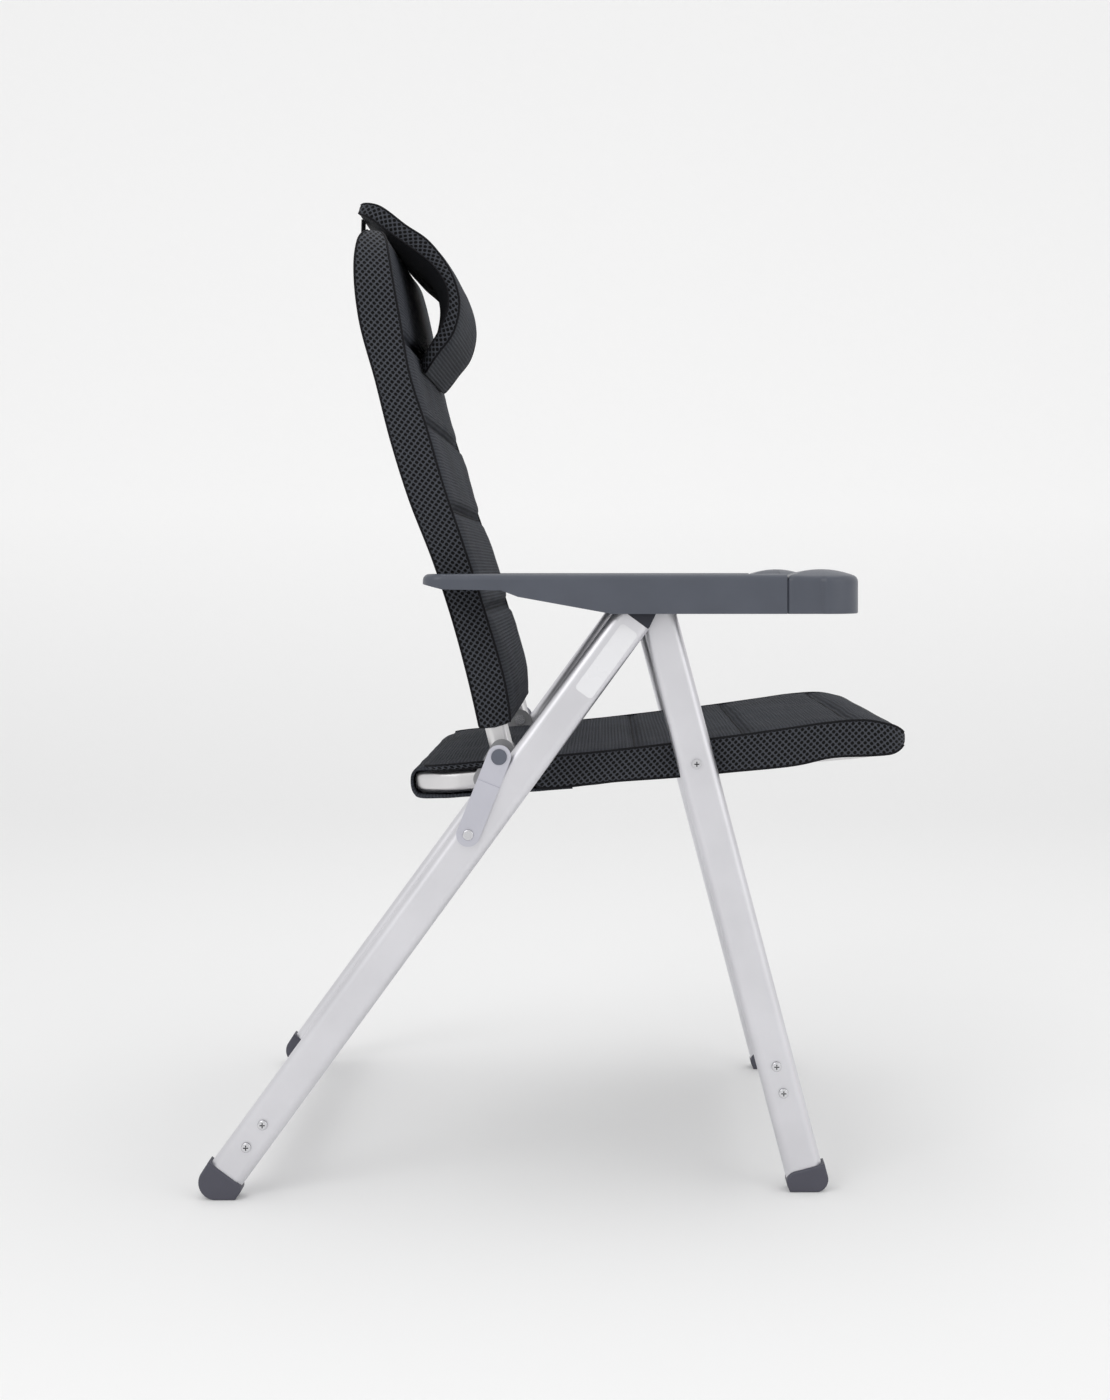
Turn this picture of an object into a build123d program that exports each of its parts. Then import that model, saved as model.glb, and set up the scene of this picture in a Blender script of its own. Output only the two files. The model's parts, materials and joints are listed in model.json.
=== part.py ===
"""Folding camp chair: oval-tube aluminium legs, padded seat and back, sliding armrests, headrest.

Frame: millimetres, +X to the front, +Z up, +Y to the sitter's left. The origin is on the floor,
under the middle of the chair's bounding box. SIDES holds the sign of y for each side.
"""

import os
from math import atan2, cos, degrees, radians, sin

from build123d import *

os.makedirs("parts", exist_ok=True)

SIDES = {"right": -1, "left": 1}

# The side view's pivots, as (x, z)
ARM_AXLE = (99.8, 662.0)
SEAT_PIVOT = (149.8, 472.4)
BACK_PIVOT = (-66.8, 483.1)
LINK_PIVOT = (-100.4, 398.6)
# The arm pivot makes back, armrest, front leg and seat a parallelogram
ARM_PIVOT = (
    BACK_PIVOT[0] + ARM_AXLE[0] - SEAT_PIVOT[0],
    BACK_PIVOT[1] + ARM_AXLE[1] - SEAT_PIVOT[1],
)
REAR_FOOT_X = -384.5
FRONT_FOOT_X = 274.4

# Sections of the flat-oval tubes
LEG_W, LEG_T = 42.0, 20.0
RAIL_H, RAIL_T = 27.0, 18.0
BACK_W, BACK_T = 26.0, 17.0
WALL = 1.5
RUN = 0.05
FIT = 0.1
GAP = 0.3

# Distances from the mid plane
FRONT_LEG_Y = 272.0
REAR_LEG_Y = 300.0
RAIL_Y = 238.0
PAD_HALF = 253.0
HEAD_HALF = 150.0
ARM_IN, ARM_OUT = 256.0, 325.0
ARM_WALL = 3.0
RACK_Y, RACK_T = 283.5, 5.0

# Heights and lengths
RAIL_SLOPE = 0.0844
SEAT_REAR_X, SEAT_FRONT_X = -160.0, 366.0
SEAT_CORNER = 45.0
ARM_TOP = 682.3
ARM_DEEP = 639.0
ARM_REAR_X = -150.7
KNOB_X, KNOB_Y, KNOB_R = 285.2, 288.0, 38.8
KNOB_TOP = 686.8
BACK_CORNER = 75.0
BACK_TOP = 1062.0
LINK_R = 13.0
RACK_TRAVEL = 106.4
NOTCHES = 7

REAR_BAR_AT = 734.2
FRONT_BAR_AT = 556.7
BAR_SCREW_STEP = 30.4
PLUG = 18.0


def save(part, label):
    part.label = label
    part.color = None
    export_step(part, f"parts/{label}.step")


def side_plane(side, y):
    """The plane parallel to the side view at distance y from the mid plane."""
    return Plane.XZ.offset(-side * y)


def rail_z(x):
    """Height of the seat rail's centre line."""
    return SEAT_PIVOT[1] + RAIL_SLOPE * (x - SEAT_PIVOT[0])


def axis_of(foot_x, top):
    """Length and unit direction of a leg from its foot on the floor to its top pivot."""
    dx, dz = top[0] - foot_x, top[1]
    length = (dx * dx + dz * dz) ** 0.5
    return length, dx / length, dz / length


REAR_LEN, REAR_UX, REAR_UZ = axis_of(REAR_FOOT_X, ARM_AXLE)
FRONT_LEN, FRONT_UX, FRONT_UZ = axis_of(FRONT_FOOT_X, ARM_AXLE)
LEGS = {
    "rear": dict(
        foot=REAR_FOOT_X, ux=REAR_UX, uz=REAR_UZ, length=REAR_LEN, y=REAR_LEG_Y, start=22.0,
        stop=34.7, boot=34.0, toe=(19.0, 8.0), bar=REAR_BAR_AT,
    ),
    "front": dict(
        foot=FRONT_FOOT_X, ux=FRONT_UX, uz=FRONT_UZ, length=FRONT_LEN, y=FRONT_LEG_Y, start=11.0,
        stop=20.0, boot=26.0, toe=(12.0, 14.0), bar=FRONT_BAR_AT,
    ),
}


def along(leg, s, across=0.0):
    """The (x, z) of a point s up the leg's axis from the floor and across to its front."""
    return leg["foot"] + leg["ux"] * s + leg["uz"] * across, leg["uz"] * s - leg["ux"] * across


def leg_plane(leg, side, s):
    """The plane square to a leg's axis, s up from the floor, local x to the front."""
    x, z = along(leg, s)
    return Plane((x, side * leg["y"], z), x_dir=(leg["uz"], 0, -leg["ux"]), z_dir=(leg["ux"], 0, leg["uz"]))


def leg_tilt(leg):
    """Angle of the leg's axis in the side view, from +X, in degrees."""
    return degrees(atan2(leg["uz"], leg["ux"]))


def bar_screws(leg):
    """The (x, z) of a crossbar's two screws."""
    middle = leg["length"] - leg["bar"]
    return [along(leg, middle + k * BAR_SCREW_STEP / 2) for k in (-1, 1)]


# ---- Legs: tube, foot, top fitting, crossbar, plugs and screws ----
for pair, leg in LEGS.items():
    inner_face = leg["y"] - LEG_T / 2
    outer_face = leg["y"] + LEG_T / 2
    tube_top = leg["length"] - leg["stop"]
    screws = bar_screws(leg)

    for name, side in SIDES.items():
        with BuildPart() as leg_tube:
            with BuildSketch(leg_plane(leg, side, leg["start"])):
                SlotOverall(LEG_W, LEG_T)
                SlotOverall(LEG_W - 2 * WALL, LEG_T - 2 * WALL, mode=Mode.SUBTRACT)
            extrude(amount=tube_top - leg["start"])
            with BuildSketch(side_plane(side, inner_face - 5)):
                with Locations(*screws):
                    Circle(2.7)
            extrude(amount=-side * (LEG_T + 10), mode=Mode.SUBTRACT)
            if pair == "front":
                with BuildSketch(side_plane(side, inner_face - 5)):
                    with Locations(SEAT_PIVOT):
                        Circle(4 + RUN)
                extrude(amount=-side * (LEG_T + 10), mode=Mode.SUBTRACT)
        save(leg_tube.part, f"{pair}_leg_{name}")

        half = LEG_W / 2 + 3
        drop = [(leg["foot"] + s / leg["uz"], 0.0) for s in (3 - half, half)]
        top = [along(leg, leg["boot"], s) for s in (half, -half)]
        with BuildPart() as foot:
            with BuildSketch(side_plane(side, leg["y"] - LEG_T / 2 - 3)) as outline:
                with BuildLine():
                    Polyline(drop[0], drop[1], top[0], top[1], close=True)
                make_face()
                low = outline.vertices().group_by(Axis.Z)[0].sort_by(Axis.X)
                fillet(low[0], leg["toe"][0])
                low = outline.vertices().group_by(Axis.Z)[0].sort_by(Axis.X)
                fillet(low[-1], leg["toe"][1])
            extrude(amount=-side * (LEG_T + 6))
            sides = foot.faces().filter_by(Axis.Y)
            fillet([e for f in sides for e in f.edges()], 2.5)
            with BuildSketch(leg_plane(leg, side, leg["start"] - FIT)):
                SlotOverall(LEG_W + 2 * FIT, LEG_T + 2 * FIT)
            extrude(amount=leg["boot"], mode=Mode.SUBTRACT)
        save(foot.part, f"{pair}_foot_{name}")

        end_x, end_z = along(leg, tube_top + 1.6)
        with BuildPart() as fitting:
            with BuildSketch(side_plane(side, inner_face + 0.5)):
                with Locations(ARM_AXLE):
                    Circle(14)
                with Locations(Location((end_x, end_z), leg_tilt(leg) - 90)):
                    Rectangle(LEG_W - 2, 3)
                make_hull()
                with Locations(ARM_AXLE):
                    Circle(5 + RUN, mode=Mode.SUBTRACT)
            extrude(amount=-side * (LEG_T - 1))
            with BuildSketch(leg_plane(leg, side, tube_top - 26)):
                SlotOverall(LEG_W - 2 * WALL - 2 * FIT, LEG_T - 2 * WALL - 2 * FIT)
            extrude(amount=26.5)
        save(fitting.part, f"{pair}_leg_fitting_{name}")

    bar_mid = along(leg, leg["length"] - leg["bar"])
    bar_plane = Plane((bar_mid[0], -inner_face, bar_mid[1]), x_dir=(leg["ux"], 0, leg["uz"]), z_dir=(0, 1, 0))
    with BuildPart() as crossbar:
        with BuildSketch(bar_plane):
            SlotOverall(LEG_W, LEG_T)
            SlotOverall(LEG_W - 2 * WALL, LEG_T - 2 * WALL, mode=Mode.SUBTRACT)
        extrude(amount=2 * inner_face)
    save(crossbar.part, f"{pair}_crossbar")

    with BuildPart() as plugs:
        for y in (-inner_face, inner_face - PLUG):
            with BuildSketch(bar_plane.offset(y + inner_face)):
                SlotOverall(LEG_W - 2 * WALL - 2 * FIT, LEG_T - 2 * WALL - 2 * FIT)
            extrude(amount=PLUG)
        with BuildSketch(side_plane(1, -inner_face)):
            with Locations(*screws):
                Circle(2.5)
        extrude(amount=-2 * inner_face, mode=Mode.SUBTRACT)
    save(plugs.part, f"{pair}_crossbar_plugs")

    with BuildPart() as bolts:
        for side in SIDES.values():
            with BuildSketch(side_plane(side, inner_face - PLUG + 1)):
                with Locations(*screws):
                    Circle(2.4)
            extrude(amount=-side * (LEG_T + PLUG - 1))
            with BuildSketch(side_plane(side, outer_face)):
                with Locations(*screws):
                    Circle(5.5)
            extrude(amount=-side * 3)
        heads = bolts.edges().filter_by(GeomType.CIRCLE).filter_by(lambda e: abs(e.center().Y) > outer_face + 2)
        fillet(heads, 1.6)
        for side in SIDES.values():
            with BuildSketch(side_plane(side, outer_face + 1.4)):
                with Locations(*screws):
                    Rectangle(5.6, 1.2)
                    Rectangle(1.2, 5.6)
            extrude(amount=-side * 3, mode=Mode.SUBTRACT)
    save(bolts.part, f"{pair}_crossbar_screws")

# ---- Seat frame ring, its brackets and their rivets ----
SEAT_TILT = degrees(atan2(RAIL_SLOPE, 1))
ring_mid_x = (SEAT_REAR_X + SEAT_FRONT_X) / 2
ring_length = (SEAT_FRONT_X - SEAT_REAR_X) / cos(radians(SEAT_TILT))
ring_plane = Plane(
    (ring_mid_x, 0, rail_z(ring_mid_x)),
    x_dir=(cos(radians(SEAT_TILT)), 0, sin(radians(SEAT_TILT))),
    z_dir=(-sin(radians(SEAT_TILT)), 0, cos(radians(SEAT_TILT))),
)
ring_start = Plane(
    ring_plane.from_local_coords((0, -RAIL_Y, 0)),
    x_dir=ring_plane.z_dir,
    z_dir=ring_plane.x_dir,
)
BRACKET_RIVETS = [(x, rail_z(x)) for x in (-88.0, -54.0)]


with BuildPart() as seat_frame:
    with BuildLine(ring_plane) as ring:
        far_x, bend_x, bend_y = ring_length / 2, ring_length / 2 - SEAT_CORNER, RAIL_Y - SEAT_CORNER
        Line((0, -RAIL_Y), (bend_x, -RAIL_Y))
        CenterArc((bend_x, -bend_y), SEAT_CORNER, -90, 90)
        Line((far_x, -bend_y), (far_x, bend_y))
        CenterArc((bend_x, bend_y), SEAT_CORNER, 0, 90)
        Line((bend_x, RAIL_Y), (-bend_x, RAIL_Y))
        CenterArc((-bend_x, bend_y), SEAT_CORNER, 90, 90)
        Line((-far_x, bend_y), (-far_x, -bend_y))
        CenterArc((-bend_x, -bend_y), SEAT_CORNER, 180, 90)
        Line((-bend_x, -RAIL_Y), (0, -RAIL_Y))
    with BuildSketch(ring_start):
        SlotOverall(RAIL_H, RAIL_T)
        SlotOverall(RAIL_H - 2 * WALL, RAIL_T - 2 * WALL, mode=Mode.SUBTRACT)
    sweep(path=ring.line)
    for side in SIDES.values():
        with BuildSketch(side_plane(side, RAIL_Y - RAIL_T)):
            with Locations(SEAT_PIVOT):
                Circle(4 + RUN)
            with Locations(*BRACKET_RIVETS):
                Circle(3 + FIT)
        extrude(amount=-side * 2 * RAIL_T, mode=Mode.SUBTRACT)
save(seat_frame.part, "seat_frame")

PLATE = 3.0
for name, side in SIDES.items():
    plate_in = RAIL_Y - RAIL_T / 2 - GAP - PLATE
    plate_out = RAIL_Y + RAIL_T / 2 + GAP
    with BuildPart() as bracket:
        for y in (plate_in, plate_out):
            with BuildSketch(side_plane(side, y)):
                with Locations(BACK_PIVOT):
                    Circle(14)
                with Locations(*BRACKET_RIVETS):
                    Circle(11)
                make_hull()
                with Locations(BACK_PIVOT):
                    Circle(4 + RUN, mode=Mode.SUBTRACT)
                with Locations(*BRACKET_RIVETS):
                    Circle(3 + FIT, mode=Mode.SUBTRACT)
            extrude(amount=-side * PLATE)
        under = rail_z(BRACKET_RIVETS[0][0]) - RAIL_H / 2 - 3.6
        strap_mid = (BRACKET_RIVETS[0][0] + BRACKET_RIVETS[1][0]) / 2
        for y in (plate_in, plate_out):
            with BuildSketch(side_plane(side, y)):
                with Locations((strap_mid, (under + rail_z(strap_mid)) / 2)):
                    Rectangle(34, rail_z(strap_mid) - under)
                with Locations(*BRACKET_RIVETS):
                    Circle(3 + FIT, mode=Mode.SUBTRACT)
            extrude(amount=-side * PLATE)
        with BuildSketch(side_plane(side, plate_in)):
            with Locations((strap_mid, under + 1.3)):
                Rectangle(34, 2.6)
        extrude(amount=-side * (plate_out + PLATE - plate_in))
    save(bracket.part, f"seat_bracket_{name}")

with BuildPart() as rivets:
    for side in SIDES.values():
        with BuildSketch(side_plane(side, plate_in - 2)):
            with Locations(*BRACKET_RIVETS):
                Circle(3)
        extrude(amount=-side * (plate_out + PLATE - plate_in + 4))
        for y in (plate_in - 2, plate_out + PLATE):
            with BuildSketch(side_plane(side, y)):
                with Locations(*BRACKET_RIVETS):
                    Circle(5)
            extrude(amount=-side * 2)
save(rivets.part, "seat_bracket_rivets")

# ---- Seat pivot screws and bushes, on the front legs ----
with BuildPart() as seat_screws:
    for side in SIDES.values():
        with BuildSketch(side_plane(side, RAIL_Y - RAIL_T / 2 - 4.3)):
            with Locations(SEAT_PIVOT):
                RegularPolygon(7, 6)
        extrude(amount=-side * 4)
        with BuildSketch(side_plane(side, RAIL_Y - RAIL_T / 2 - 4.3)):
            with Locations(SEAT_PIVOT):
                Circle(4)
        extrude(amount=-side * (FRONT_LEG_Y + LEG_T / 2 - RAIL_Y + RAIL_T / 2 + 4.3))
        with BuildSketch(side_plane(side, FRONT_LEG_Y + LEG_T / 2)):
            with Locations(SEAT_PIVOT):
                Circle(5.5)
                Rectangle(5.6, 1.2, mode=Mode.SUBTRACT)
                Rectangle(1.2, 5.6, mode=Mode.SUBTRACT)
        extrude(amount=-side * 3)
save(seat_screws.part, "seat_pivot_screws")

with BuildPart() as seat_bushes:
    for side in SIDES.values():
        with BuildSketch(side_plane(side, RAIL_Y + RAIL_T / 2 + GAP)):
            with Locations(SEAT_PIVOT):
                Circle(9)
                Circle(4 + FIT, mode=Mode.SUBTRACT)
        extrude(amount=-side * (FRONT_LEG_Y - LEG_T / 2 - RAIL_Y - RAIL_T / 2 - GAP))
save(seat_bushes.part, "seat_pivot_bushes")

# ---- Arm axles, on the front leg fittings ----
for name, side in SIDES.items():
    with BuildPart() as axle:
        with BuildSketch(side_plane(side, ARM_IN + ARM_WALL + 0.8)):
            with Locations(ARM_AXLE):
                Circle(5)
        extrude(amount=-side * 54)
        for y in (ARM_IN + ARM_WALL + 0.8, REAR_LEG_Y + LEG_T / 2 + GAP):
            with BuildSketch(side_plane(side, y)):
                with Locations(ARM_AXLE):
                    Circle(9)
            extrude(amount=-side * 2)
    save(axle.part, f"arm_axle_{name}")

# ---- Back pivot: axle, spacer tube and cap; link and its rivet ----
for name, side in SIDES.items():
    head_y = plate_in - 3.2
    spacer_y = plate_out + PLATE + 0.2
    link_y = REAR_LEG_Y + LEG_T / 2 + 0.7
    with BuildPart() as back_axle:
        with BuildSketch(side_plane(side, head_y)):
            with Locations(BACK_PIVOT):
                Circle(7)
        extrude(amount=-side * 3)
        with BuildSketch(side_plane(side, head_y)):
            with Locations(BACK_PIVOT):
                Circle(4)
        extrude(amount=-side * (link_y + 3.4 - head_y))
    save(back_axle.part, f"back_pivot_axle_{name}")

    with BuildPart() as spacer:
        with BuildSketch(side_plane(side, spacer_y)):
            with Locations(BACK_PIVOT):
                Circle(6.8)
                Circle(4 + FIT, mode=Mode.SUBTRACT)
        extrude(amount=-side * (link_y - 0.3 - spacer_y))
    save(spacer.part, f"back_pivot_spacer_{name}")

    with BuildPart() as cap:
        with BuildSketch(side_plane(side, link_y + 3.4)):
            with Locations(BACK_PIVOT):
                Circle(8.6)
        extrude(amount=-side * 3)
        fillet(cap.edges().filter_by(lambda e: abs(e.center().Y) > link_y + 5), 1.2)
    save(cap.part, f"back_pivot_cap_{name}")

    link_dx, link_dz = BACK_PIVOT[0] - LINK_PIVOT[0], BACK_PIVOT[1] - LINK_PIVOT[1]
    link_len = (link_dx**2 + link_dz**2) ** 0.5
    link_angle = degrees(atan2(link_dz, link_dx))
    with BuildPart() as link:
        for share, y in ((0.80, link_y), (0.30, link_y + 2)):
            at = (LINK_PIVOT[0] + link_dx * share, LINK_PIVOT[1] + link_dz * share)
            end = BACK_PIVOT if share > 0.5 else LINK_PIVOT
            reach = link_len * (0.42 if share > 0.5 else 0.66)
            with BuildSketch(side_plane(side, y)):
                with Locations(Location(end, link_angle)):
                    Circle(LINK_R)
                with Locations(
                    Location(
                        (
                            end[0] + (-1 if share > 0.5 else 1) * link_dx / link_len * reach / 2,
                            end[1] + (-1 if share > 0.5 else 1) * link_dz / link_len * reach / 2,
                        ),
                        link_angle,
                    )
                ):
                    Rectangle(reach, 2 * LINK_R)
            extrude(amount=-side * PLATE)
        with BuildSketch(side_plane(side, link_y - 1)):
            with Locations(BACK_PIVOT, LINK_PIVOT):
                Circle(4 + RUN)
        extrude(amount=-side * 9, mode=Mode.SUBTRACT)
    save(link.part, f"link_{name}")

    with BuildPart() as link_rivet:
        with BuildSketch(side_plane(side, link_y - 0.3)):
            with Locations(LINK_PIVOT):
                Circle(9)
        extrude(amount=-side * 2.2)
        with BuildSketch(side_plane(side, link_y - 0.3)):
            with Locations(LINK_PIVOT):
                Circle(4)
        extrude(amount=-side * 6)
        with BuildSketch(side_plane(side, link_y + 5.1)):
            with Locations(LINK_PIVOT):
                Circle(6)
        extrude(amount=-side * 2.6)
        fillet(link_rivet.edges().filter_by(lambda e: abs(e.center().Y) > link_y + 7), 1.6)
    save(link_rivet.part, f"link_rivet_{name}")

# ---- Back frame: one bent tube, and its lower bar ----
BACK_LINE = [BACK_PIVOT, (-116.3, 679.0), (-169.2, 821.0), (-204.1, 965.5), (-205.6, 977.4)]
top_dx = BACK_LINE[-1][0] - BACK_LINE[-2][0]
top_dz = BACK_LINE[-1][1] - BACK_LINE[-2][1]
top_len = (top_dx**2 + top_dz**2) ** 0.5
UP = (top_dx / top_len, top_dz / top_len)
top_rise = (BACK_TOP - BACK_LINE[-1][1]) / UP[1]


def back_x(z):
    """x of the back tube's centre line at height z, its bends left sharp."""
    for (x0, z0), (x1, z1) in zip(BACK_LINE, BACK_LINE[1:]):
        if z <= z1:
            break
    return x0 + (x1 - x0) * (z - z0) / (z1 - z0)


first_dx = BACK_LINE[1][0] - BACK_LINE[0][0]
first_dz = BACK_LINE[1][1] - BACK_LINE[0][1]
first_len = (first_dx**2 + first_dz**2) ** 0.5
arch_plane = Plane(
    (BACK_LINE[-1][0], 0, BACK_LINE[-1][1]),
    x_dir=(0, 1, 0),
    z_dir=(UP[1], 0, -UP[0]),
)
arch_sign = 1 if arch_plane.y_dir.Z > 0 else -1

with BuildPart() as back_frame:
    for side in SIDES.values():
        with BuildLine(side_plane(side, RAIL_Y)) as post:
            FilletPolyline(*BACK_LINE, radius=160)
        with BuildSketch(
            Plane(
                (BACK_PIVOT[0], side * RAIL_Y, BACK_PIVOT[1]),
                x_dir=(first_dz / first_len, 0, -first_dx / first_len),
                z_dir=(first_dx / first_len, 0, first_dz / first_len),
            )
        ):
            SlotOverall(BACK_W, BACK_T)
            SlotOverall(BACK_W - 2 * WALL, BACK_T - 2 * WALL, mode=Mode.SUBTRACT)
        sweep(path=post.line)
    with BuildLine(arch_plane) as arch:
        FilletPolyline(
            (-RAIL_Y, 0),
            (-RAIL_Y, arch_sign * top_rise),
            (RAIL_Y, arch_sign * top_rise),
            (RAIL_Y, 0),
            radius=BACK_CORNER,
        )
    with BuildSketch(
        Plane(
            (BACK_LINE[-1][0], -RAIL_Y, BACK_LINE[-1][1]),
            x_dir=(UP[1], 0, -UP[0]),
            z_dir=(UP[0], 0, UP[1]),
        )
    ):
        SlotOverall(BACK_W, BACK_T)
        SlotOverall(BACK_W - 2 * WALL, BACK_T - 2 * WALL, mode=Mode.SUBTRACT)
    sweep(path=arch.line)
    for side in SIDES.values():
        with BuildSketch(side_plane(side, RAIL_Y - BACK_T / 2)):
            with Locations(BACK_PIVOT):
                Circle(BACK_W / 2)
        extrude(amount=-side * BACK_T)
        with BuildSketch(side_plane(side, RAIL_Y - BACK_T)):
            with Locations(BACK_PIVOT, ARM_PIVOT):
                Circle(4 + RUN)
        extrude(amount=-side * 2 * BACK_T, mode=Mode.SUBTRACT)
save(back_frame.part, "back_frame")

LOW_BAR_Z = 532.0
with BuildPart() as low_bar:
    with BuildSketch(Plane.XZ.offset(-(RAIL_Y - BACK_T / 2))):
        with Locations((back_x(LOW_BAR_Z), LOW_BAR_Z)):
            Circle(8)
            Circle(8 - WALL, mode=Mode.SUBTRACT)
    extrude(amount=2 * (RAIL_Y - BACK_T / 2))
save(low_bar.part, "back_lower_bar")

# ---- Arm pivot bolts and spacers ----
for name, side in SIDES.items():
    with BuildPart() as arm_bolt:
        with BuildSketch(side_plane(side, RAIL_Y - BACK_T / 2 - 3.2)):
            with Locations(ARM_PIVOT):
                Circle(7)
        extrude(amount=-side * 3)
        with BuildSketch(side_plane(side, RAIL_Y - BACK_T / 2 - 3.2)):
            with Locations(ARM_PIVOT):
                Circle(4)
        extrude(amount=-side * 74)
    save(arm_bolt.part, f"arm_pivot_bolt_{name}")

    with BuildPart() as arm_spacer:
        with BuildSketch(side_plane(side, RAIL_Y + BACK_T / 2 + GAP)):
            with Locations(ARM_PIVOT):
                Circle(8)
                Circle(4 + FIT, mode=Mode.SUBTRACT)
        extrude(amount=-side * (ARM_IN - 2 * GAP - RAIL_Y - BACK_T / 2))
    save(arm_spacer.part, f"arm_pivot_spacer_{name}")

# ---- Armrests: shell, rack and end knob ----
slide_dx, slide_dz = ARM_AXLE[0] - ARM_PIVOT[0], ARM_AXLE[1] - ARM_PIVOT[1]
slide_len = (slide_dx**2 + slide_dz**2) ** 0.5
slide_x, slide_z = slide_dx / slide_len, slide_dz / slide_len
slide_angle = degrees(atan2(slide_z, slide_x))
ARM_JOIN_X = 246.0
ARM_UNDER = [(-128.0, 665.5), (-64.0, 664.5), (-46.0, 657.5), (56.0, ARM_DEEP)]
SLOT_HALF = 8.0

for name, side in SIDES.items():
    arm_mid = (ARM_IN + ARM_OUT) / 2

    def arm_plan(inset):
        """The armrest seen from above, as a sketch on the floor plane."""
        with BuildSketch() as plan:
            with BuildLine():
                Polyline(
                    (ARM_REAR_X + inset, side * (ARM_IN + inset)),
                    (ARM_JOIN_X, side * (ARM_IN + inset)),
                    (ARM_JOIN_X, side * (ARM_OUT - inset)),
                    (ARM_REAR_X + inset, side * (ARM_OUT - inset)),
                    close=True,
                )
            make_face()
            fillet(plan.vertices().group_by(Axis.X)[0], 22 - inset)
        return plan.sketch

    with BuildPart() as armrest:
        with BuildSketch(side_plane(side, ARM_IN - 5)):
            with BuildLine():
                Polyline(
                    (ARM_REAR_X - 1, ARM_TOP),
                    (ARM_REAR_X - 1, ARM_UNDER[0][1] + 6),
                    *ARM_UNDER,
                    (ARM_JOIN_X, ARM_DEEP),
                    (ARM_JOIN_X, ARM_TOP),
                    close=True,
                )
            make_face()
        extrude(amount=-side * 80)
        extrude(arm_plan(0), amount=ARM_TOP + 20, mode=Mode.INTERSECT)
        fillet(armrest.faces().sort_by(Axis.Z)[-1].edges().filter_by(lambda e: e.center().X < ARM_JOIN_X - 1), 7)
        with BuildPart(mode=Mode.PRIVATE) as hollow:
            with BuildSketch(side_plane(side, ARM_IN - 5)):
                with BuildLine():
                    Polyline(
                        (-44.0, ARM_TOP - ARM_WALL),
                        (-44.0, ARM_DEEP - 5),
                        (ARM_JOIN_X + 1, ARM_DEEP - 5),
                        (ARM_JOIN_X + 1, ARM_TOP - ARM_WALL),
                        close=True,
                    )
                make_face()
            extrude(amount=-side * 80)
            extrude(arm_plan(ARM_WALL), amount=ARM_TOP + 20, mode=Mode.INTERSECT)
        add(hollow.part, mode=Mode.SUBTRACT)
        with BuildSketch(side_plane(side, ARM_IN - 5)):
            with Locations(ARM_PIVOT):
                Circle(4 + RUN)
        extrude(amount=-side * 56, mode=Mode.SUBTRACT)
    save(armrest.part, f"armrest_{name}")

    with BuildPart() as rack:
        middle = RACK_TRAVEL / 2
        with BuildSketch(side_plane(side, RACK_Y)):
            with BuildLine():
                Polyline(
                    (60.0, ARM_TOP - ARM_WALL),
                    (60.0, 646.0),
                    (240.0, 640.5),
                    (240.0, ARM_TOP - ARM_WALL),
                    close=True,
                )
            make_face()
            slot_at = (ARM_AXLE[0] + slide_x * middle, ARM_AXLE[1] + slide_z * middle)
            with Locations(Location(slot_at, slide_angle)):
                SlotOverall(RACK_TRAVEL + 2 * SLOT_HALF, 2 * SLOT_HALF, mode=Mode.SUBTRACT)
            for n in range(NOTCHES):
                reach = RACK_TRAVEL * n / (NOTCHES - 1)
                with Locations((ARM_AXLE[0] + slide_x * reach, ARM_AXLE[1] + slide_z * reach + 4)):
                    Circle(5.6, mode=Mode.SUBTRACT)
        extrude(amount=-side * RACK_T)
    save(rack.part, f"armrest_rack_{name}")

    with BuildPart() as knob:
        with BuildSketch(Plane.XY.offset(ARM_DEEP)):
            with Locations((KNOB_X, side * KNOB_Y)):
                Circle(KNOB_R)
            with Locations((ARM_JOIN_X + 14.6, side * arm_mid)):
                Rectangle(29, ARM_OUT - ARM_IN)
        extrude(amount=KNOB_TOP - ARM_DEEP)
        top_edges = knob.faces().sort_by(Axis.Z)[-1].edges()
        fillet(top_edges, 7)
        with BuildSketch(Plane.XY.offset(ARM_DEEP - 1)):
            with Locations((KNOB_X, side * KNOB_Y)):
                Circle(KNOB_R - ARM_WALL - 2)
        extrude(amount=KNOB_TOP - ARM_DEEP - 6, mode=Mode.SUBTRACT)
    save(knob.part, f"armrest_knob_{name}")

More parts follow.
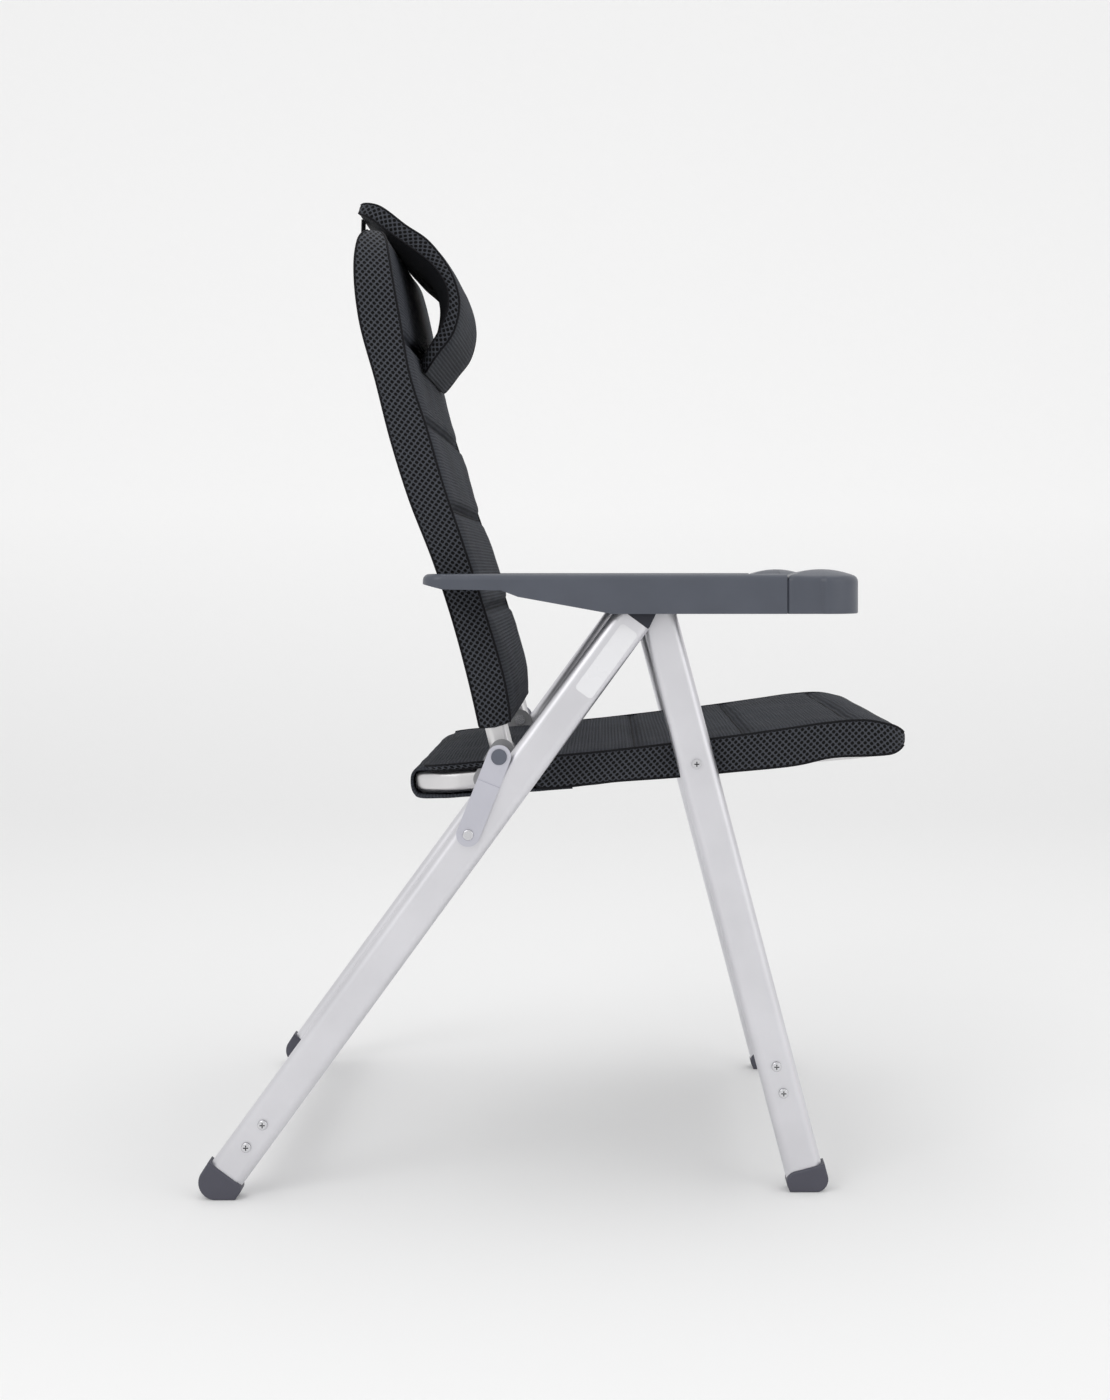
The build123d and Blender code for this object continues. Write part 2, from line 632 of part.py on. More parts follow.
# ---- Soft parts: seat pad, back pad, headrest pad and its straps ----
SEAT_TOP = [(-150.0, 471.0), (-20.0, 479.5), (120.0, 493.0), (260.0, 514.0), (318.0, 522.0), (362.0, 517.0)]
SEAT_NOSE = (394.2, 496.5)
SEAT_UNDER = [(374.0, 478.0), (262.0, 466.6), (-150.0, rail_z(-150.0) - 15.6)]
SEAT_TAIL = (-175.0, 452.0)
with BuildPart() as seat_pad:
    with BuildSketch(Plane.XZ.offset(-PAD_HALF)):
        with BuildLine():
            crown = Spline(*SEAT_TOP)
            Spline(crown @ 1, SEAT_NOSE, SEAT_UNDER[0], tangents=((0.9, -0.35), (-1, -0.1)))
            Polyline(*SEAT_UNDER)
            Spline(SEAT_UNDER[-1], SEAT_TAIL, crown @ 0, tangents=((-1, -0.08), (1, 0.1)))
        make_face()
    extrude(amount=2 * PAD_HALF)
    with BuildSketch(ring_plane):
        with Locations((4, 0)):
            RectangleRounded(ring_length + 60, 2 * PAD_HALF, 54)
    extrude(amount=90, both=True, mode=Mode.INTERSECT)
    with BuildSketch(ring_plane.offset(4)):
        RectangleRounded(ring_length - 36, 2 * (RAIL_Y - 13), 30)
    extrude(amount=-60, mode=Mode.SUBTRACT)
    with BuildSketch(ring_start):
        SlotOverall(RAIL_H + 2 * GAP, RAIL_T + 2 * GAP)
    sweep(path=ring.line, mode=Mode.SUBTRACT)
    for side in SIDES.values():
        with BuildSketch(side_plane(side, RAIL_Y - 16.5)):
            with Locations((-70.0, 470.0)):
                Rectangle(72, 80)
        extrude(amount=-side * 60, mode=Mode.SUBTRACT)
        with BuildSketch(side_plane(side, RAIL_Y + RAIL_T / 2 + GAP)):
            with Locations((-120.0, 470.0)):
                Rectangle(190, 80)
        extrude(amount=-side * 60, mode=Mode.SUBTRACT)
        with BuildSketch(side_plane(side, RAIL_Y - RAIL_T / 2 - 6)):
            with Locations(SEAT_PIVOT):
                Circle(10)
        extrude(amount=-side * 60, mode=Mode.SUBTRACT)
save(seat_pad.part, "seat_pad")

BACK_REAR = [(-91.0, 514.0), (-125.0, 644.0), (-163.0, 748.0), (-200.0, 866.0), (-226.0, 970.0), (-233.0, 1036.0)]
BACK_CROWN = (-213.0, 1078.0)
BACK_FRONT = [(-189.0, 1040.0), (-172.0, 970.0), (-153.5, 866.0), (-115.0, 752.0), (-83.0, 640.0), (-58.5, 514.0)]
with BuildPart() as back_pad:
    with BuildSketch(Plane.XZ.offset(-PAD_HALF)):
        with BuildLine():
            rear = Spline(*BACK_REAR)
            over = Spline(
                rear @ 1, BACK_CROWN, BACK_FRONT[0], tangents=((-0.05, 1), (0.2, -1))
            )
            front = Spline(*BACK_FRONT)
            Line(front @ 1, rear @ 0)
        make_face()
    extrude(amount=2 * PAD_HALF)
    with BuildSketch(Plane.YZ.offset(-400)) as front_view:
        with BuildLine():
            Polyline(
                (-PAD_HALF, 500), (PAD_HALF, 500), (PAD_HALF, 1078.0), (-PAD_HALF, 1078.0), close=True
            )
        make_face()
        fillet(front_view.vertices().group_by(Axis.Z)[-1], BACK_CORNER + 15)
    extrude(amount=600, mode=Mode.INTERSECT)
    with BuildSketch(Plane.XZ.offset(-(RAIL_Y - 14))):
        with BuildLine():
            back_cut = Spline(*[(x + 24, z) for x, z in BACK_REAR[:5]])
            Polyline(back_cut @ 1, (-300, 968), (-300, 520), back_cut @ 0)
        make_face()
    extrude(amount=2 * (RAIL_Y - 14), mode=Mode.SUBTRACT)
    for side in SIDES.values():
        with BuildLine(side_plane(side, RAIL_Y)) as post_line:
            FilletPolyline((BACK_PIVOT[0] + 2.5, BACK_PIVOT[1] - 10), *BACK_LINE[1:], radius=160)
        start = Vector(post_line.line @ 0)
        heading = Vector(post_line.line % 0)
        with BuildSketch(Plane(start, x_dir=(heading.Z, 0, -heading.X), z_dir=heading)):
            SlotOverall(BACK_W + 2 * GAP, BACK_T + 2 * GAP)
        sweep(path=post_line.line, mode=Mode.SUBTRACT)
        with BuildSketch(side_plane(side, RAIL_Y - BACK_T / 2 - 6)):
            with Locations(ARM_PIVOT):
                Circle(9.5)
        extrude(amount=-side * 60, mode=Mode.SUBTRACT)
    with BuildSketch(
        Plane(
            (BACK_LINE[-1][0], -RAIL_Y, BACK_LINE[-1][1]),
            x_dir=(UP[1], 0, -UP[0]),
            z_dir=(UP[0], 0, UP[1]),
        )
    ):
        SlotOverall(BACK_W + 2 * GAP, BACK_T + 2 * GAP)
    sweep(path=arch.line, mode=Mode.SUBTRACT)
    with BuildSketch(Plane.XZ.offset(-RAIL_Y)):
        with Locations((back_x(LOW_BAR_Z), LOW_BAR_Z)):
            Circle(8 + GAP)
    extrude(amount=2 * RAIL_Y, mode=Mode.SUBTRACT)
save(Part(back_pad.part.solids().sort_by(SortBy.VOLUME)[-1].wrapped), "back_pad")

HEAD_OUT = [
    (-240.0, 1112.0), (-232.0, 1118.5), (-213.4, 1113.5), (-181.0, 1094.0), (-141.0, 1062.0), (-122.0, 1035.0),
    (-114.0, 1000.0), (-121.0, 962.0), (-138.0, 938.0), (-154.0, 919.5),
]
HEAD_IN = [
    (-160.0, 922.0), (-160.5, 938.0), (-149.5, 968.0), (-144.5, 1000.0), (-150.0, 1026.0), (-166.0, 1047.0),
    (-185.0, 1067.0), (-206.0, 1086.0), (-236.0, 1103.0),
]
with BuildPart() as head_pad:
    with BuildSketch(Plane.XZ.offset(-HEAD_HALF)):
        with BuildLine():
            out_line = Spline(*HEAD_OUT)
            in_line = Spline(*HEAD_IN)
            Line(out_line @ 1, in_line @ 0)
            Line(in_line @ 1, out_line @ 0)
        make_face()
    extrude(amount=2 * HEAD_HALF)
save(head_pad.part, "headrest_pad")

STRAP_LINE = [(-239.5, 1104.0), (-240.5, 1060.0), (-238.5, 1000.0)]
with BuildPart() as straps:
    for y in (-95.0, 95.0):
        with BuildSketch(Plane.XZ.offset(-y - 14)):
            with BuildLine():
                Polyline(
                    *STRAP_LINE,
                    *[(x - 2.0, z) for x, z in reversed(STRAP_LINE)],
                    close=True,
                )
            make_face()
        extrude(amount=28)
save(straps.part, "headrest_straps")

with BuildPart() as hooks:
    for y in (-95.0, 95.0):
        with BuildSketch(Plane.XZ.offset(-y - 18)):
            with Locations((-239.3, 986.0)):
                Rectangle(4, 28)
        extrude(amount=36)
    fillet(hooks.edges().filter_by(Axis.X), 4)
save(hooks.part, "headrest_hooks")
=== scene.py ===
import json
import math

import bpy
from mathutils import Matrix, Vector, noise


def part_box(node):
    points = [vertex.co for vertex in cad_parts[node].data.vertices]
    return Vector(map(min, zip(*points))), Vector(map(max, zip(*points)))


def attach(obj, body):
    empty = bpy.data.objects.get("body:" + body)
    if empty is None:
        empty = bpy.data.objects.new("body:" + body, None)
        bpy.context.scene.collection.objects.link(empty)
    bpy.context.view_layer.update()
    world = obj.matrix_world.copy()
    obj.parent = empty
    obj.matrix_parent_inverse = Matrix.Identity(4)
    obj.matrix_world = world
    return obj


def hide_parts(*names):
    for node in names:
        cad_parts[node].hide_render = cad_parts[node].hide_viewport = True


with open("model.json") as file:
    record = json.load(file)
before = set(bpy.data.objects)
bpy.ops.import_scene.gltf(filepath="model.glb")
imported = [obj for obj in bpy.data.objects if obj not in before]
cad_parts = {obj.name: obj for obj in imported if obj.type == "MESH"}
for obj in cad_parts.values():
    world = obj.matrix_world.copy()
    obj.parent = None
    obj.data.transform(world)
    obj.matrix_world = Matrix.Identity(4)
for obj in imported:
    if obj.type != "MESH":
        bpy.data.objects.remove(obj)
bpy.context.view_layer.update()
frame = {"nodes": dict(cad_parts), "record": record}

MM = 0.001
nodes = frame["nodes"]


# ---- Materials ----
class Mat:
    """A material with its shader, and short ways to add nodes to it."""

    def __init__(self, name, color, rough=0.6, metal=0.0, spec=0.5, **more):
        self.mat = bpy.data.materials.new(name)
        self.mat.use_nodes = True
        self.tree = self.mat.node_tree
        self.bsdf = self.tree.nodes["Principled BSDF"]
        self.set("Base Color", (*color, 1))
        self.set("Roughness", rough)
        self.set("Metallic", metal)
        self.set("Specular IOR Level", spec)
        for key, value in more.items():
            self.set(key.replace("_", " "), value)

    def set(self, socket, value):
        self.bsdf.inputs[socket].default_value = value

    def node(self, kind, **settings):
        made = self.tree.nodes.new(kind)
        for key, value in settings.items():
            setattr(made, key, value)
        return made

    def link(self, a, b):
        self.tree.links.new(a, b)

    def math(self, op, a, b=None):
        made = self.node("ShaderNodeMath", operation=op)
        for i, value in enumerate((a, b)):
            if value is None:
                continue
            if isinstance(value, (int, float)):
                made.inputs[i].default_value = value
            else:
                self.link(value, made.inputs[i])
        return made.outputs[0]

    def coords(self, scale=(1, 1, 1)):
        tex = self.node("ShaderNodeTexCoord")
        if scale == (1, 1, 1):
            return tex.outputs["Object"]
        mapping = self.node("ShaderNodeMapping")
        mapping.inputs["Scale"].default_value = scale
        self.link(tex.outputs["Object"], mapping.inputs["Vector"])
        return mapping.outputs[0]

    def uv(self):
        made = self.node("ShaderNodeUVMap", uv_map="fabric")
        split = self.node("ShaderNodeSeparateXYZ")
        self.link(made.outputs[0], split.inputs[0])
        return split.outputs[0], split.outputs[1]

    def noise(self, scale, detail=3.0, rough=0.5, stretch=(1, 1, 1)):
        made = self.node("ShaderNodeTexNoise")
        made.inputs["Scale"].default_value = scale
        made.inputs["Detail"].default_value = detail
        made.inputs["Roughness"].default_value = rough
        self.link(self.coords(stretch), made.inputs["Vector"])
        return made.outputs["Fac"]

    def ramp(self, value, low, high, c0, c1):
        made = self.node("ShaderNodeValToRGB")
        made.color_ramp.elements[0].position = low
        made.color_ramp.elements[1].position = high
        made.color_ramp.elements[0].color = (*c0, 1)
        made.color_ramp.elements[1].color = (*c1, 1)
        self.link(value, made.inputs[0])
        return made.outputs[0]

    def span(self, value, lo, hi, out_lo, out_hi):
        made = self.node("ShaderNodeMapRange")
        for i, v in enumerate((lo, hi, out_lo, out_hi)):
            made.inputs[i + 1].default_value = v
        self.link(value, made.inputs[0])
        return made.outputs[0]

    def color(self, out):
        self.link(out, self.bsdf.inputs["Base Color"])

    def rough(self, out):
        self.link(out, self.bsdf.inputs["Roughness"])

    def bump(self, height, strength, distance):
        made = self.node("ShaderNodeBump")
        made.inputs["Strength"].default_value = strength
        made.inputs["Distance"].default_value = distance
        self.link(height, made.inputs["Height"])
        last = self.bsdf.inputs["Normal"].links
        if last:
            self.link(last[0].from_socket, made.inputs["Normal"])
        self.link(made.outputs[0], self.bsdf.inputs["Normal"])


def scaled(c, k):
    return tuple(v * k for v in c)


def metal(name, color, rough=0.36, grain=900.0, wear=0.05, recess=0.0):
    m = Mat(name, color, rough, 1.0)
    cloud = m.noise(14.0, 4.0)
    tone = m.ramp(cloud, 0.3, 0.7, scaled(color, 1 - wear), scaled(color, 1 + wear * 0.4))
    if recess:
        # Painted shade: ambient occlusion darkens the colour in a screw's slots and round its head
        painted_recess_shade = m.node("ShaderNodeAmbientOcclusion")
        painted_recess_shade.inputs["Distance"].default_value = recess
        m.link(tone, painted_recess_shade.inputs["Color"])
        tone = m.ramp(painted_recess_shade.outputs["AO"], 0.35, 0.95, scaled(color, 0.06), color)
    m.color(tone)
    fine = m.noise(grain, 2.0, 0.6)
    m.rough(m.span(fine, 0.2, 0.8, rough - 0.05, rough + 0.08))
    m.bump(fine, 0.12, 0.00006)
    m.bump(m.noise(60.0, 2.0), 0.05, 0.0004)
    return m.mat


def plastic(name, color, rough=0.5, grain=1500.0, depth=0.00012, wear=0.06):
    m = Mat(name, color, rough, 0.0, 0.45)
    cloud = m.noise(22.0, 4.0)
    m.color(m.ramp(cloud, 0.3, 0.7, scaled(color, 1 - wear), scaled(color, 1 + wear)))
    fine = m.noise(grain, 3.0, 0.65)
    m.rough(m.span(fine, 0.25, 0.75, rough - 0.06, rough + 0.08))
    m.bump(fine, 0.35, depth)
    return m.mat


def spacer_mesh(name, thread, hole, pitch, sheen=0.03):
    """Knitted spacer fabric: dark round holes on a diamond lattice between lighter threads."""
    m = Mat(name, thread, 0.85, 0.0, 0.25, Sheen_Weight=sheen, Sheen_Roughness=0.5)
    u, v = m.uv()
    a = m.math("DIVIDE", m.math("ADD", u, v), pitch / 10)
    b = m.math("DIVIDE", m.math("SUBTRACT", u, v), pitch / 10)
    ca = m.math("COSINE", m.math("MULTIPLY", a, 2 * math.pi))
    cb = m.math("COSINE", m.math("MULTIPLY", b, 2 * math.pi))
    ha = m.math("ADD", m.math("MULTIPLY", ca, 0.5), 0.5)
    hb = m.math("ADD", m.math("MULTIPLY", cb, 0.5), 0.5)
    f = m.math("MULTIPLY", ha, hb)
    strands = m.math("SINE", m.math("MULTIPLY", a, 2 * math.pi * 4))
    knit = m.math("ADD", m.noise(900.0, 2.0), m.math("MULTIPLY", strands, 0.08))
    tone = m.ramp(knit, 0.25, 0.75, scaled(thread, 0.65), scaled(thread, 1.3))
    mask = m.span(f, 0.08, 0.26, 0.0, 1.0)
    mix = m.node("ShaderNodeMix", data_type="RGBA")
    m.link(mask, mix.inputs[0])
    m.link(tone, mix.inputs[6])
    mix.inputs[7].default_value = (*hole, 1)
    m.color(mix.outputs[2])
    m.bump(m.math("MULTIPLY", f, -1.0), 0.8, 0.0012)
    m.bump(knit, 0.4, 0.0003)
    return m.mat


def woven(name, color, period=4.0, sheen=0.0, ribs=1.0, cross=0.3):
    """Ribbed polyester: ribs across the piece, a fainter weave the other way, and slow fading."""
    m = Mat(name, color, 0.85, 0.0, 0.15, Sheen_Weight=sheen, Sheen_Roughness=0.45)
    u, v = m.uv()
    k = 2 * math.pi / (period / 10)
    rib = m.math("SINE", m.math("MULTIPLY", v, k))
    weft = m.math("SINE", m.math("MULTIPLY", u, k * 0.8))
    yarn = m.noise(700.0, 3.0, 0.6)
    h = m.math("ADD", m.math("MULTIPLY", rib, 0.5 * ribs), m.math("MULTIPLY", weft, 0.5 * cross))
    h = m.math("ADD", h, m.math("MULTIPLY", yarn, 0.6))
    tone = m.math("ADD", m.math("MULTIPLY", h, 0.42), m.math("MULTIPLY", m.noise(9.0, 3.0), 0.6))
    m.color(m.ramp(tone, 0.1, 0.85, scaled(color, 0.6), scaled(color, 1.45)))
    m.bump(h, 0.8, 0.0008)
    m.bump(m.noise(45.0, 3.0), 0.25, 0.0016)
    return m.mat


MESH_PITCH = 7.2  # mm between the border mesh's holes
FRONT_GREY = (0.036, 0.039, 0.048)
THREAD = (0.055, 0.059, 0.070)
HOLE = (0.0012, 0.0012, 0.0015)
tube = metal("anodised_tube", (0.74, 0.735, 0.765), 0.40)
rail = metal("rail_tube", (0.77, 0.76, 0.765), 0.34)
zinc = metal("zinc_screw", (0.66, 0.66, 0.68), 0.2, 400.0, 0.12, 0.004)
link_steel = metal("link_steel", (0.60, 0.60, 0.66), 0.38, 700.0)
bracket_steel = metal("bracket_steel", (0.36, 0.36, 0.37), 0.42, 500.0)
foot_plastic = plastic("foot_plastic", (0.067, 0.067, 0.088), 0.5)
fitting_plastic = plastic("fitting_plastic", (0.018, 0.020, 0.032), 0.5)
arm_plastic = plastic("arm_plastic", (0.074, 0.082, 0.104), 0.36)
cap_plastic = plastic("cap_plastic", (0.105, 0.115, 0.145), 0.45)
pad_grey = woven("pad_fabric", FRONT_GREY)
pad_rear = woven("pad_fabric_rear", scaled(FRONT_GREY, 0.55), 1.1, 0.03)
border = spacer_mesh("spacer_mesh", THREAD, HOLE, MESH_PITCH)
binding = woven("binding_tape", (0.010, 0.010, 0.012), 1.0, 0.02)
velvet = woven("loop_tape", (0.012, 0.012, 0.014), 0.8, 0.05)

SLOT_MATERIALS = {
    "tube_aluminium": tube, "rail_aluminium": rail, "link_steel": link_steel, "bracket_steel": bracket_steel,
    "screw_steel": zinc, "foot_plastic": foot_plastic, "fitting_plastic": fitting_plastic,
    "arm_plastic": arm_plastic, "cap_plastic": cap_plastic, "pad_fabric": pad_grey, "strap_fabric": velvet,
}
for part in frame["record"]["subparts"]:
    material = SLOT_MATERIALS[part["material_slot"]]
    cad = nodes[part["node"]]
    if not cad.data.materials:
        cad.data.materials.append(material)
    for i in range(len(cad.data.materials)):
        cad.data.materials[i] = material


# ---- Places, all measured in mm from the CAD nodes' boxes ----
def box_mm(node):
    """A CAD node's lowest and highest corners, in mm."""
    return [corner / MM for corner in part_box(node)]


def from_corner(x, z, points):
    """(x, z) points that are given from a box's corner, in the frame."""
    return [(x + px, z + pz) for px, pz in points]


back_hi = box_mm("back_pad")[1]
seat_lo, seat_hi = box_mm("seat_pad")
head_lo, head_hi = box_mm("headrest_pad")
ring_lo, ring_hi = box_mm("seat_frame")
knob_lo, knob_hi = box_mm("armrest_knob_left")
leg_lo, leg_hi = box_mm("rear_leg_right")


# ---- Pads: closed lofts with quilted tops, real dimples in their borders ----
def smooth_line(points, count):
    """count points at even steps along a smooth line through (x, z) points."""
    dense = []
    ends = [points[0], *points, points[-1]]
    for i in range(len(points) - 1):
        p0, p1, p2, p3 = (Vector(p) for p in ends[i:i + 4])
        for k in range(24):
            t = k / 24
            dense.append(0.5 * (2 * p1 + (p2 - p0) * t + (2 * p0 - 5 * p1 + 4 * p2 - p3) * t * t
                                + (3 * p1 - p0 - 3 * p2 + p3) * t ** 3))
    dense.append(Vector(points[-1]))
    far = [0.0]
    for a, b in zip(dense, dense[1:]):
        far.append(far[-1] + (b - a).length)
    line, k = [], 0
    for i in range(count):
        want = far[-1] * i / (count - 1)
        while k < len(far) - 2 and far[k + 1] < want:
            k += 1
        span = max(far[k + 1] - far[k], 1e-9)
        line.append(dense[k].lerp(dense[k + 1], (want - far[k]) / span))
    return line


def dimple(u, v, pitch=MESH_PITCH):
    """How deep a border's hole is at (u, v) mm, from 0 to 1, as its material has it."""
    a, b = 2 * math.pi * (u + v) / pitch, 2 * math.pi * (u - v) / pitch
    f = (0.5 + 0.5 * math.cos(a)) * (0.5 + 0.5 * math.cos(b))
    return min(1.0, max(0.0, (f - 0.10) / 0.25))


EDGE_REACH = 40.0  # how far from an end or an edge a pad's crown and sag are full, in mm
SEAM_HALF, SEAM_WIDE = 7.5, 26.0  # a sewn channel's narrow and wide hollows
SEAM_DEPTH, SEAM_SHADE = 0.85, 0.22  # how much of the crown each takes away


def fade(gap, reach):
    """Rises from 0 at an end to 1 at reach mm from it."""
    return max(0.0, min(1.0, gap / reach)) ** 0.6


def pad(name, body, under, over, half, corner, crown, *, end_round, rows, capped, seams=(), sag=0.0, belly=0.0,
        cols=56, side=30, bulge=3.0, corner_low=0.0, top_fade=EDGE_REACH, dip=0.0):
    """Lofts a closed pad between the lines under and over, (x, z) in mm from its first end to its last.

    half is its half width, corner and corner_low the plan radii at its last and first end, crown how far
    its top stands above its edges, and top_fade how far from its last end the crown is full. seams are the
    distances along it of its sewn channels, and dip how deep they are below the crown. sag and belly shape
    its underside, bulge its border. end_round and capped are its rounding and its mesh at the two ends.
    """
    low, high = smooth_line(under, rows), smooth_line(over, rows)
    mid = [(a + b) / 2 for a, b in zip(low, high)]
    along = [0.0]
    for a, b in zip(mid, mid[1:]):
        along.append(along[-1] + (b - a).length)
    total = along[-1]
    verts, ring_uv = [], []
    # Columns bunch towards both edges, where the outline turns
    us = [math.sin(math.pi / 2 * (2 * i / cols - 1)) for i in range(cols + 1)]
    us = [0.55 * u + 0.45 * (2 * i / cols - 1) for i, u in enumerate(us)]
    for j in range(rows):
        s = along[j]
        up = high[j] - low[j]
        thick = up.length
        up = up.normalized()
        inset = 0.0
        for gap, r in ((total - s, corner), (s, corner_low)):
            if gap < r:
                inset = max(inset, r - math.sqrt(max(r * r - (r - gap) ** 2, 0.0)))
        width = half - inset
        # Rounds the two ends by thinning the section there
        thin = 1.0
        for gap, r in ((s, end_round[0]), (total - s, end_round[1])):
            if gap < r:
                thin = min(thin, math.sqrt(max(1 - (1 - gap / r) ** 2, 0.0)))
        thin = max(thin, 0.03)
        base_low = mid[j] - up * thick / 2 * thin
        base_high = mid[j] + up * thick / 2 * thin
        channel = 1.0
        for seam in seams:
            channel -= SEAM_DEPTH * math.exp(-((s - seam) / SEAM_HALF) ** 2)
            channel -= SEAM_SHADE * math.exp(-((s - seam) / SEAM_WIDE) ** 2)
        edge_fade = min(fade(s - end_round[0] * 0.3, EDGE_REACH), fade(total - s - end_round[1] * 0.3, top_fade))
        ring, uvs = [], []
        for i, u in enumerate(us):
            y = width * u
            away = 1 - abs(u) ** 2
            near_edge = (1 - abs(u)) * width
            roll = min(1.0, near_edge / 26.0) ** 0.55
            lift = crown * edge_fade * (0.35 * away + 0.65 * roll) * max(channel, 0.0)
            # Creases fan out from where a seam meets the border
            pucker = 0.0
            for seam in seams:
                d = (s - seam) / 30.0
                pucker += math.exp(-d * d) * math.exp(-near_edge / 45.0) * math.sin((s - seam) / 4.2 + 3 * u)
            n = noise.noise(Vector((y * 0.012, s * 0.02, 3.1))) * 1.4 + noise.noise(
                Vector((y * 0.045, s * 0.05, 7.7))) * 0.5
            lift += roll * edge_fade * (n + 0.8 * pucker)
            for seam in seams:
                lift -= dip * roll * math.exp(-((s - seam) / 6.0) ** 2)
            p = base_high + up * lift
            ring.append((p.x, y, p.y))
            uvs.append((y / 10, s / 10))
        for side_sign in (1, -1):
            block, block_uv = [], []
            for k in range(1, side):
                q = k / side
                p = base_high.lerp(base_low, q)
                swell = math.sin(math.pi * q) ** 0.75 * bulge * thin
                depth = dimple(s, thick * q) * min(1.0, 6 * q, 6 * (1 - q)) * (thin > 0.6)
                out = swell - depth + 0.5 * noise.noise(Vector((s * 0.03, q * 2, side_sign * 5)))
                block.append((p.x, side_sign * (width + out), p.y))
                block_uv.append((s / 10, thick * q / 10))
            if side_sign == 1:
                ring += block
                uvs += block_uv
                for i, u in enumerate(reversed(us)):
                    y = width * u
                    away = min(1.0, (1 - abs(u)) * width / EDGE_REACH)
                    low_fade = fade(min(s, total - s), EDGE_REACH)
                    drop = sag + belly * math.sin(math.pi * s / total) ** 2
                    p = base_low + up * drop * away * low_fade
                    wave = noise.noise(Vector((y * 0.015, s * 0.015, 11.3))) * 1.2 * away
                    p += up * wave * edge_fade
                    ring.append((p.x, y, p.y))
                    uvs.append((y / 10, s / 10))
            else:
                ring += reversed(block)
                uvs += reversed(block_uv)
        verts += ring
        ring_uv += uvs
    m = len(verts) // rows
    faces, kinds = [], []
    for j in range(rows - 1):
        s = along[j]
        end = s < capped[0] or s > total - capped[1]
        for i in range(m):
            k = (i + 1) % m
            faces.append((j * m + i, j * m + k, (j + 1) * m + k, (j + 1) * m + i))
            if i < cols:
                kinds.append(1 if end else 0)
            elif i < cols + side:
                kinds.append(1)
            elif i < 2 * cols + side:
                kinds.append(1 if end else 2)
            else:
                kinds.append(1)
    for j, flip in ((0, False), (rows - 1, True)):
        top = [j * m + i for i in range(cols + 1)]
        bottom = [j * m + cols + side + (cols - i) for i in range(cols + 1)]
        for i in range(cols):
            quad = (top[i], bottom[i], bottom[i + 1], top[i + 1])
            faces.append(quad if flip else tuple(reversed(quad)))
            kinds.append(1)
        ring_left = [j * m + 2 * cols + side + 1 + k for k in range(side - 1)]
        ring_right = [j * m + cols + 1 + k for k in range(side - 1)]
        for edge in ([top[0]] + ring_left[::-1] + [bottom[0]], [bottom[-1]] + ring_right[::-1] + [top[-1]]):
            faces.append(tuple(edge) if flip else tuple(reversed(edge)))
            kinds.append(1)
    mesh = bpy.data.meshes.new(name)
    mesh.from_pydata([tuple(c * MM for c in v) for v in verts], [], faces)
    for material in (pad_grey, border, pad_rear):
        mesh.materials.append(material)
    layer = mesh.uv_layers.new(name="fabric")
    for poly in mesh.polygons:
        poly.material_index = kinds[poly.index]
        poly.use_smooth = True
        for loop in poly.loop_indices:
            layer.data[loop].uv = ring_uv[mesh.loops[loop].vertex_index]
    mesh.validate()
    mesh.update()
    piece = bpy.data.objects.new(name, mesh)
    bpy.context.scene.collection.objects.link(piece)
    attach(piece, body)
    corners = {"top_right": cols, "top_left": 0, "low_right": cols + side, "low_left": 2 * cols + side}
    edges = {where: [Vector(verts[j * m + i]) for j in range(rows)] for where, i in corners.items()}
    valleys = []
    for seam in seams:
        j = min(range(rows), key=lambda r: abs(along[r] - seam))
        valleys.append([Vector(verts[j * m + i]) for i in range(cols + 1)])
    return piece, edges, valleys


def tube_along(name, body, points, radius):
    """A thin round tube along points in mm, as piping, or as a dark cord along a seam that stands for its stitching and
    for painted shade in the seam's hollow.
    """
    curve = bpy.data.curves.new(name, "CURVE")
    curve.dimensions = "3D"
    spline = curve.splines.new("POLY")
    spline.points.add(len(points) - 1)
    for point, p in zip(spline.points, points):
        point.co = (p[0] * MM, p[1] * MM, p[2] * MM, 1)
    curve.bevel_depth = radius * MM
    curve.bevel_resolution = 3
    curve.use_fill_caps = True
    piece = bpy.data.objects.new(name, curve)
    bpy.context.scene.collection.objects.link(piece)
    curve.materials.append(binding)
    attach(piece, body)


PAD_INSET, HEAD_INSET = 1.0, 2.0  # room for each border's bulge inside its CAD solid
# Back pad, bottom to top
BACK_UNDER = from_corner(back_hi.x, back_hi.z, [
    (-32.5, -571), (-45.5, -514), (-63.5, -447), (-85.5, -380), (-111.5, -313), (-132.5, -246),
    (-149.5, -179), (-167.5, -112), (-174.5, -45), (-171.5, 4),
])
BACK_OVER = from_corner(back_hi.x, back_hi.z, [
    (1.5, -564), (-1.5, -538), (-8.5, -503), (-27.5, -438), (-50.5, -366), (-73.5, -298), (-92.5, -233),
    (-111.5, -173), (-123.5, -106), (-135.5, -42), (-145.5, 0),
])
back, back_edges, back_seams = pad(
    "back_cushion", "back", BACK_UNDER, BACK_OVER, back_hi.y - PAD_INSET, 88.0, 8.0,
    seams=(132.0, 253.0, 356.0, 455.0), sag=3.0,
    end_round=(4.0, 20.0), rows=440, side=34, bulge=3.0, capped=(4.0, 20.0), top_fade=200.0, dip=4.5,
)
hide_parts("back_pad")

